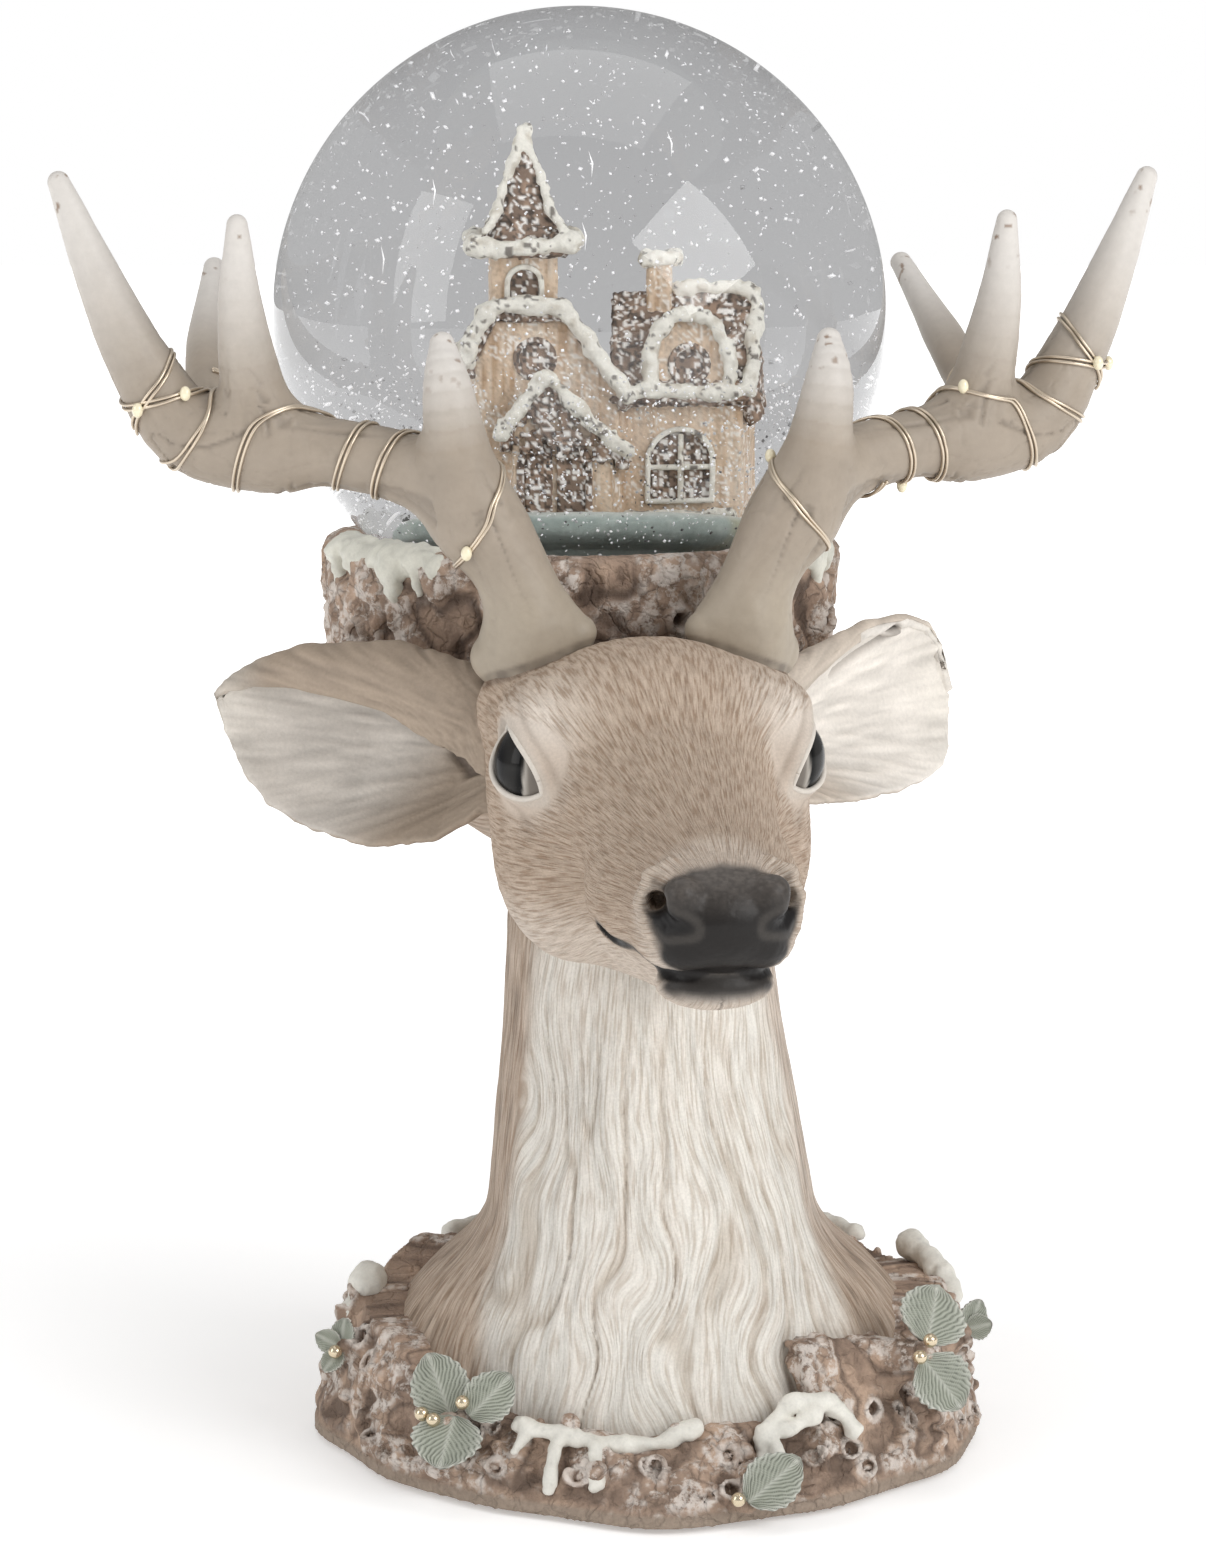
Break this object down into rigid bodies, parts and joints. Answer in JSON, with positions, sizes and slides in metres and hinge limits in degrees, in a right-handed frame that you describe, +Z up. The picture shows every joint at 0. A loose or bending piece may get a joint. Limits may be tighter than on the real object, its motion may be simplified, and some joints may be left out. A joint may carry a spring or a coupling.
{
  "type": "snow globe",
  "caption": "Stag's head bust in a bark base that carries a water-filled glass globe with a snowy chapel on a stump behind lit antlers.",
  "frame": {"origin": "centre of the underside of the soft pad, on the ground under the bark base", "axes": "+Z up, the chest faces -Y; the head, antlers, stump and globe are turned about 10 degrees to the deer's own left"},
  "size_m": [0.1735, 0.1733, 0.225],
  "materials": {
    "fur_resin": "matte, dry-brushed",
    "bark_resin": "matte, dry-brushed white",
    "antler_resin": "satin",
    "eye_gloss": "high gloss",
    "globe_glass": "clear",
    "water": "clear liquid with glitter",
    "house_resin": "matte, snow on the edges",
    "ground_resin": "icy satin",
    "leaf_resin": "matte",
    "gold_bead": "metallic gold",
    "light_wire": "bright thin wire",
    "led_drop": "clear drop",
    "soft_rubber": "matte",
    "black_plastic": "matte",
    "steel": "bright",
    "cell_sleeve": "printed sleeve"
  },
  "bodies": {
    "globe_and_bust": {"bust_casting": "fur_resin", "ear_left": "fur_resin", "ear_right": "fur_resin", "bark_base": "bark_resin", "stump_pedestal": "bark_resin", "antler_left": "antler_resin", "antler_right": "antler_resin", "eye_left": "eye_gloss", "eye_right": "eye_gloss", "globe_glass": "globe_glass", "water_fill": "water", "globe_stopper": "soft_rubber", "base_pad": "soft_rubber", "scene_ground": "ground_resin", "scene_house": "house_resin", "leaf_sprig_left": "leaf_resin", "leaf_sprig_right": "leaf_resin", "leaf_sprig_front": "leaf_resin", "berry_1": "gold_bead", "berry_2": "gold_bead", "berry_3": "gold_bead", "berry_4": "gold_bead", "berry_5": "gold_bead", "berry_6": "gold_bead", "light_wire_left": "light_wire", "light_wire_right": "light_wire", "led_bead_left_1": "led_drop", "led_bead_left_2": "led_drop", "led_bead_left_3": "led_drop", "led_bead_left_4": "led_drop", "led_bead_left_5": "led_drop", "led_bead_right_1": "led_drop", "led_bead_right_2": "led_drop", "led_bead_right_3": "led_drop", "led_bead_right_4": "led_drop", "led_bead_right_5": "led_drop", "lead_cable_left": "black_plastic", "lead_cable_right": "black_plastic", "base_plate": "black_plastic", "battery_case": "black_plastic", "switch_body": "black_plastic", "plate_screw_1": "steel", "plate_screw_2": "steel", "plate_screw_3": "steel", "plate_screw_4": "steel", "contact_bridge": "steel", "contact_positive": "steel", "contact_negative": "steel", "cell_1": "cell_sleeve", "cell_2": "cell_sleeve"},
    "battery_door": {"battery_door": "black_plastic"},
    "door_screw": {"door_screw": "steel"},
    "switch": {"switch_knob": "soft_rubber"}
  },
  "joints": [
    {"name": "door_hinge", "type": "hinge", "parent": "globe_and_bust", "child": "battery_door", "pos_m": [0.027, 0.0153, 0.0026], "axis": [0, -1, 0], "range_deg": [0, 75]},
    {"name": "door_screw_turn", "type": "hinge", "parent": "battery_door", "child": "door_screw", "pos_m": [-0.0282, 0.0153, 0.0018], "axis": [0, 0, 1], "continuous": true},
    {"name": "switch_slide", "type": "slide", "parent": "globe_and_bust", "child": "switch", "axis": [1, 0, 0], "range_m": [0, 0.0025]}
  ]
}
